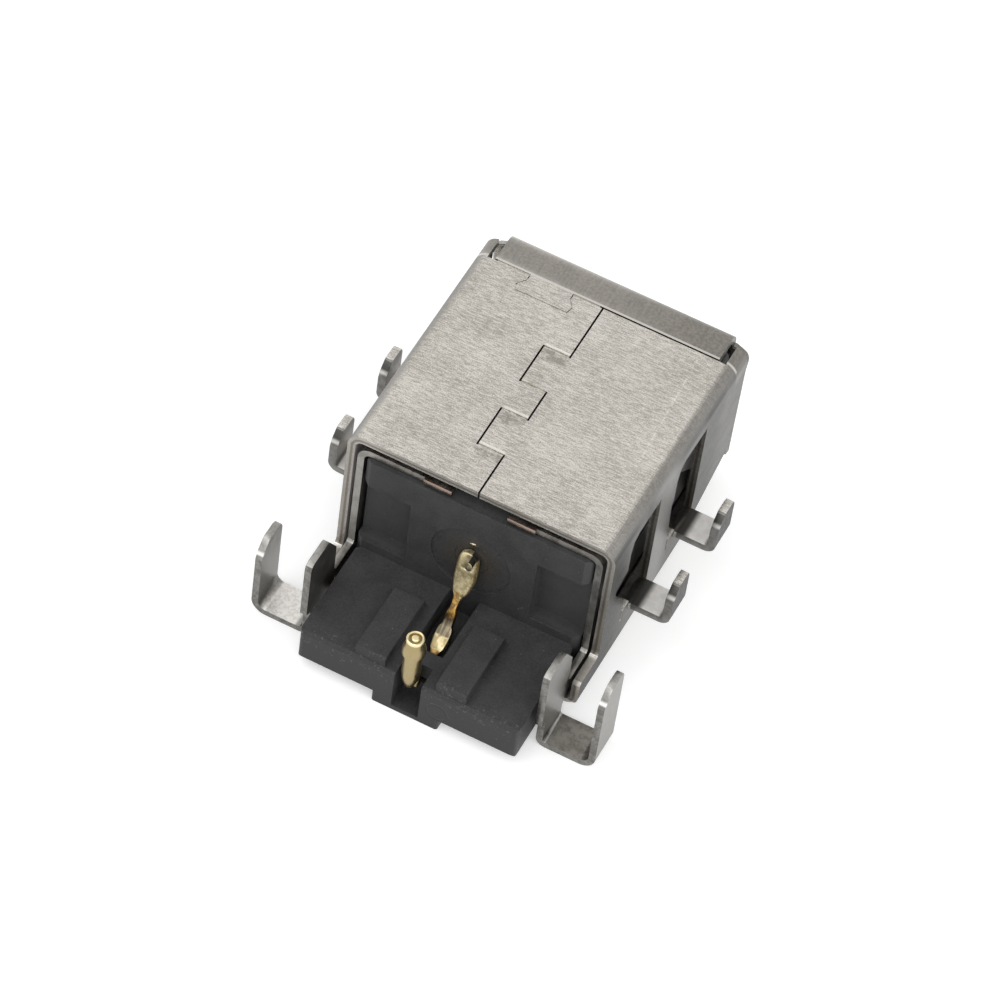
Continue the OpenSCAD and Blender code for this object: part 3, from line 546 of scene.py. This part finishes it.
def strip_tree(gold_material):
    tree = bpy.data.node_groups.new("formed_strip", "GeometryNodeTree")
    face = tree.interface
    face.new_socket("Path", in_out="INPUT", socket_type="NodeSocketGeometry")
    face.new_socket("Strip", in_out="OUTPUT", socket_type="NodeSocketGeometry")
    for name, value in (("Thickness", 0.0003), ("Widest", 0.00095), ("Edge Radius", 0.00011)):
        socket = face.new_socket(name, in_out="INPUT", socket_type="NodeSocketFloat")
        socket.default_value = value
    nodes, link = tree.nodes, tree.links.new
    given = nodes.new("NodeGroupInput")
    result = nodes.new("NodeGroupOutput")
    steps = nodes.new("GeometryNodeResampleCurve")
    steps.inputs["Count"].default_value = 240
    link(given.outputs["Path"], steps.inputs["Curve"])
    along = nodes.new("GeometryNodeSplineParameter")
    keep = nodes.new("GeometryNodeCaptureAttribute")
    keep.capture_items.new("FLOAT", "Way")
    link(steps.outputs[0], keep.inputs["Geometry"])
    link(along.outputs["Factor"], keep.inputs["Way"])
    blank = nodes.new("GeometryNodeCurvePrimitiveQuadrilateral")
    link(given.outputs["Widest"], blank.inputs["Width"])
    link(given.outputs["Thickness"], blank.inputs["Height"])
    rounded = nodes.new("GeometryNodeFilletCurve")
    rounded.mode = "POLY"
    rounded.inputs["Count"].default_value = 4
    link(blank.outputs[0], rounded.inputs["Curve"])
    link(given.outputs["Edge Radius"], rounded.inputs["Radius"])
    sweep = nodes.new("GeometryNodeCurveToMesh")
    sweep.inputs["Fill Caps"].default_value = True
    link(keep.outputs["Geometry"], sweep.inputs["Curve"])
    link(rounded.outputs[0], sweep.inputs["Profile Curve"])
    # Share of the widest width on the way from the pad's top to the solder pin
    shape = nodes.new("ShaderNodeFloatCurve")
    shape.inputs["Factor"].default_value = 1.0
    points = shape.mapping.curves[0].points
    points[0].location = (0.0, 0.25)
    points[1].location = (1.0, 0.5)
    for way, share in ((0.012, 0.5), (0.04, 0.78), (0.1, 0.96), (0.2, 1.0), (0.27, 0.86), (0.32, 0.62),
                       (0.355, 0.36), (0.41, 0.32), (0.43, 0.42), (0.47, 0.50), (0.515, 0.52), (0.54, 0.68),
                       (0.58, 0.78), (0.66, 0.70), (0.70, 0.48), (0.76, 0.36)):
        points.new(way, share)
    shape.mapping.update()
    link(keep.outputs["Way"], shape.inputs["Value"])
    spot = nodes.new("GeometryNodeInputPosition")
    parts = nodes.new("ShaderNodeSeparateXYZ")
    link(spot.outputs[0], parts.inputs[0])
    narrow = nodes.new("ShaderNodeMath")
    narrow.operation = "MULTIPLY"
    link(parts.outputs["X"], narrow.inputs[0])
    link(shape.outputs[0], narrow.inputs[1])
    # The pad is domed: its edges lie nearer the wall than its middle
    per_half_width, dome_depth, pad_foot = 2105.0, 0.00013, 0.0025
    dome = None
    for operation, value in (("MULTIPLY", per_half_width), ("POWER", 2.0), ("MULTIPLY", dome_depth)):
        step = nodes.new("ShaderNodeMath")
        step.operation = operation
        step.inputs[1].default_value = value
        link(dome.outputs[0] if dome else narrow.outputs[0], step.inputs[0])
        dome = step
    on_pad = nodes.new("ShaderNodeMath")
    on_pad.operation = "GREATER_THAN"
    on_pad.inputs[1].default_value = pad_foot
    link(parts.outputs["Z"], on_pad.inputs[0])
    push = nodes.new("ShaderNodeMath")
    push.operation = "MULTIPLY_ADD"
    link(dome.outputs[0], push.inputs[0])
    link(on_pad.outputs[0], push.inputs[1])
    link(parts.outputs["Y"], push.inputs[2])
    place = nodes.new("ShaderNodeCombineXYZ")
    link(narrow.outputs[0], place.inputs["X"])
    link(push.outputs[0], place.inputs["Y"])
    link(parts.outputs["Z"], place.inputs["Z"])
    move = nodes.new("GeometryNodeSetPosition")
    link(sweep.outputs[0], move.inputs["Geometry"])
    link(place.outputs[0], move.inputs["Position"])
    real = nodes.new("GeometryNodeRealizeInstances")
    link(move.outputs[0], real.inputs[0])
    coat = nodes.new("GeometryNodeSetMaterial")
    coat.inputs["Material"].default_value = gold_material
    link(real.outputs[0], coat.inputs["Geometry"])
    link(coat.outputs[0], result.inputs["Strip"])
    return tree


def strip_path():
    """Side view of the strip's middle line, from the top of the pad to the solder pin."""
    curve = bpy.data.curves.new("strip_path", "CURVE")
    curve.dimensions = "3D"
    line = curve.splines.new("BEZIER")
    bends = ((-0.34, 4.88), (-0.86, 2.74), (-1.12, 2.40), (-1.34, 2.16), (-1.62, 1.68), (-2.08, 1.24),
             (-2.46, 0.95), (-2.72, 0.81), (-3.10, 0.80), (-4.10, 0.80), (-4.52, 0.92), (-4.66, 1.14))
    line.bezier_points.add(len(bends) - 1)
    for point, (y, z) in zip(line.bezier_points, bends):
        point.co = metres(0.0, y, z)
        point.handle_left_type = point.handle_right_type = "AUTO"
    line.resolution_u = 24
    holder = bpy.data.objects.new("strip_path", curve)
    bpy.context.scene.collection.objects.link(holder)
    return holder


def taken_from(holder, name):
    """Plain mesh object with everything that the holder's modifiers make."""
    depsgraph = bpy.context.evaluated_depsgraph_get()
    mesh = bpy.data.meshes.new_from_object(holder.evaluated_get(depsgraph))
    mesh.name = name
    bpy.data.objects.remove(holder)
    piece = bpy.data.objects.new(name, mesh)
    bpy.context.scene.collection.objects.link(piece)
    return piece


def punch(piece, cutter):
    """Cuts the cutter's shape out of the piece."""
    cut = piece.modifiers.new("punch", "BOOLEAN")
    cut.operation = "DIFFERENCE"
    cut.object = cutter
    cut.solver = "EXACT"
    piece = taken_from(piece, piece.name)
    bpy.data.objects.remove(cutter)
    return piece


def eye_punch(low, high, radius, sides=32):
    """Round-ended punch that goes through the pad from low to high, both as (x, z)."""
    shape = bmesh.new()
    axis = math.atan2(high[0] - low[0], high[1] - low[1])
    ring = []
    for i in range(sides):
        turn = axis + math.pi * 2 * i / sides
        end = high if math.cos(turn - axis) > 0 else low
        ring.append((end[0] + radius * math.sin(turn), end[1] + radius * math.cos(turn)))
    front = [shape.verts.new(metres(x, 0.0, z)) for x, z in ring]
    back = [shape.verts.new(metres(x, -2.0, z)) for x, z in ring]
    shape.faces.new(front)
    shape.faces.new(reversed(back))
    for i in range(sides):
        j = (i + 1) % sides
        shape.faces.new((front[i], back[i], back[j], front[j]))
    return finished(shape, "eye_punch", smooth=False)


path = strip_path()
sweep = path.modifiers.new("sweep", "NODES")
sweep.node_group = strip_tree(gold.material)
terminal = taken_from(path, "formed_terminal")
terminal = punch(terminal, eye_punch(low=(0.10, 4.07), high=(0.37, 5.15), radius=0.13))
terminal.data.materials.clear()
terminal.data.materials.append(gold.material)
for face in terminal.data.polygons:
    face.use_smooth = True
terminal.modifiers.new("smooth", "WEIGHTED_NORMAL")
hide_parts("centre_terminal")
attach(terminal, "root")


# ---- Sealing ring ----
# Black resin closes the hole behind the pad up to the recess, so that solder and
# flux can't reach the bore. The pin's thin end passes through its middle.

def around_axis(radius, turn, depth):
    """Place at a turn from straight up about the bore's axis."""
    return metres(radius * math.sin(turn), depth, axis_z + radius * math.cos(turn))


def ring_of_resin(inner, outer, near, far, sides=72):
    shape = bmesh.new()
    section = ((inner, near + 0.02), (inner + 0.03, near), (outer - 0.05, near),
               (outer, near + 0.015), (outer, far), (inner, far))
    loops = []
    for radius, depth in section:
        turns = [math.tau * i / sides for i in range(sides)]
        loops.append([shape.verts.new(around_axis(radius, turn, depth)) for turn in turns])
    for first, second in zip(loops, loops[1:] + loops[:1]):
        for i in range(sides):
            shape.faces.new((first[i], first[(i + 1) % sides], second[(i + 1) % sides], second[i]))
    ring = finished(shape, "sealing_ring")
    ring.data.set_sharp_from_angle(angle=math.radians(40))
    return ring


seal = ring_of_resin(inner=0.27, outer=0.74, near=-0.10, far=0.15)
seal.data.materials.append(housing.data.materials[0])
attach(seal, "root")


# ---- Pin collar ----
# A thin gold-plated collar of the turned pin is moulded into the recess. Only
# two worn spots of it come through the plastic above the pad.

def worn_spot(name, start, end, radius, thick, depth, steps=12, sides=10):
    """Piece of a ring about the bore's axis, between two angles from straight up, thin at its ends."""
    shape = bmesh.new()
    rings = []
    for i in range(steps + 1):
        turn = math.radians(start + (end - start) * i / steps)
        slim = thick * max(0.12, math.sin(math.pi * i / steps)) ** 0.5
        loop = []
        for k in range(sides):
            lean = math.tau * k / sides
            spot = around_axis(radius + slim * math.cos(lean), turn, depth + 0.5 * slim * math.sin(lean))
            loop.append(shape.verts.new(spot))
        rings.append(loop)
    for first, second in zip(rings[:-1], rings[1:]):
        for k in range(sides):
            shape.faces.new((first[k], first[(k + 1) % sides], second[(k + 1) % sides], second[k]))
    shape.faces.new(rings[0])
    shape.faces.new(rings[-1])
    piece = finished(shape, name)
    piece.data.materials.append(gold.material)
    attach(piece, "root")


worn_spot("collar_spot", start=-10, end=14, radius=0.98, thick=0.09, depth=-0.10)
worn_spot("collar_spot", start=26, end=36, radius=1.0, thick=0.05, depth=-0.10)


# ---- Solder pin ----
# Coined round pin that stands in the notch at the end of the strip. A swelling
# near its top grips the board, and the press leaves a ring in its end.

def turned(name, profile, centre, sides=64):
    """Solid of revolution about an upright line, from a profile of (radius, height) from the bottom up."""
    shape = bmesh.new()
    rings = []
    for radius, height in profile:
        loop = []
        for i in range(sides if radius > 0.0 else 1):
            turn = math.tau * i / sides
            spot = metres(centre[0] + radius * math.cos(turn), centre[1] + radius * math.sin(turn), height)
            loop.append(shape.verts.new(spot))
        rings.append(loop)
    for below, above in zip(rings[:-1], rings[1:]):
        for i in range(sides):
            j = (i + 1) % sides
            if len(below) == 1:
                shape.faces.new((below[0], above[j], above[i]))
            elif len(above) == 1:
                shape.faces.new((below[i], below[j], above[0]))
            else:
                shape.faces.new((below[i], below[j], above[j], above[i]))
    return finished(shape, name)


pin_profile = ((0.0, 1.00), (0.17, 1.00), (0.21, 1.05), (0.31, 1.38), (0.38, 1.66),
               (0.40, 1.90), (0.40, 3.16), (0.49, 3.22), (0.50, 3.42), (0.455, 3.62),
               (0.395, 3.80), (0.39, 4.08), (0.37, 4.14), (0.33, 4.165), (0.275, 4.15),
               (0.25, 4.07), (0.19, 4.07), (0.155, 4.13), (0.12, 4.155), (0.0, 4.165))
solder_pin = turned("solder_pin", pin_profile, (solder_x, solder_y))
solder_pin.data.set_sharp_from_angle(angle=math.radians(24))
solder_pin.data.materials.append(gold.material)
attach(solder_pin, "root")


# ---- Floor, lamps and camera ----
# A plain white table top in a white room, lit by three soft lamps.

def seen_directly(tree):
    """One where a camera, metal or glass looks at it, zero where it only lights things."""
    path = tree.nodes.new("ShaderNodeLightPath")
    looks = Wire(tree, path.outputs["Is Camera Ray"])
    for name in ("Is Glossy Ray", "Is Transmission Ray"):
        looks = looks.high(Wire(tree, path.outputs[name]))
    return looks


def white_table_finish():
    finish = Finish("white_table", Base_Color=(0.8, 0.8, 0.8, 1.0), Roughness=0.9, Specular_IOR_Level=0.0)
    tree = finish.tree
    lift = tree.nodes.new("ShaderNodeEmission")
    tree.links.new((seen_directly(tree) * 0.36).socket, lift.inputs["Strength"])
    both = tree.nodes.new("ShaderNodeAddShader")
    tree.links.new(finish.shader.outputs[0], both.inputs[0])
    tree.links.new(lift.outputs[0], both.inputs[1])
    tree.links.new(both.outputs[0], tree.nodes["Material Output"].inputs["Surface"])
    return finish.material


# The table lies a thousandth of a millimetre below the part, so that no faces coincide
table_height = cad_box[0][2] - 1e-6
table_mesh = bpy.data.meshes.new("table_top")
half = 3.0
corners = ((-half, -half), (half, -half), (half, half), (-half, half))
table_mesh.from_pydata([(x, y, table_height) for x, y in corners], [], [(0, 1, 2, 3)])
table_top = bpy.data.objects.new("table_top", table_mesh)
bpy.context.scene.collection.objects.link(table_top)
table_mesh.materials.append(white_table_finish())

room = bpy.data.worlds.new("white_room")
bpy.context.scene.world = room
room.use_nodes = True
background = room.node_tree.nodes["Background"]
background.inputs["Color"].default_value = (1.0, 1.0, 1.0, 1.0)
glow = seen_directly(room.node_tree).ramp(0.0, 1.0, 0.80, 1.0)
room.node_tree.links.new(glow.socket, background.inputs["Strength"])


def soft_lamp(name, place, target, width, depth, watts):
    lamp = bpy.data.lights.new(name, "AREA")
    lamp.shape = "RECTANGLE"
    lamp.size = width
    lamp.size_y = depth
    lamp.energy = watts
    holder = bpy.data.objects.new(name, lamp)
    bpy.context.scene.collection.objects.link(holder)
    aim = Vector(target) - Vector(place)
    holder.matrix_world = Matrix.Translation(place) @ aim.to_track_quat("-Z", "Y").to_matrix().to_4x4()


middle = (0.0, 0.004, 0.004)
soft_lamp("wide_lamp", (-0.24, -0.18, 0.52), middle, width=0.5, depth=0.5, watts=0.85)
soft_lamp("fill_lamp", (0.16, -0.42, 0.50), middle, width=0.3, depth=0.3, watts=0.65)
soft_lamp("side_lamp", (0.50, -0.10, 0.22), middle, width=0.3, depth=0.3, watts=0.9)

lens = bpy.data.cameras.new("camera")
lens.sensor_width = 36.0
lens.lens = 193.4
lens.clip_start = 0.01
lens.clip_end = 10.0
camera = bpy.data.objects.new("camera", lens)
bpy.context.scene.collection.objects.link(camera)
aim = Vector((-0.2115, 0.5811, -0.7858))
level_view = aim.to_track_quat("-Z", "Y").to_matrix().to_4x4()
roll = Matrix.Rotation(math.radians(8.93), 4, "Z")
eye = Matrix.Translation((0.04570, -0.12343, 0.17534))
camera.matrix_world = eye @ level_view @ roll
bpy.context.scene.camera = camera

bpy.context.scene.view_settings.view_transform = "Standard"
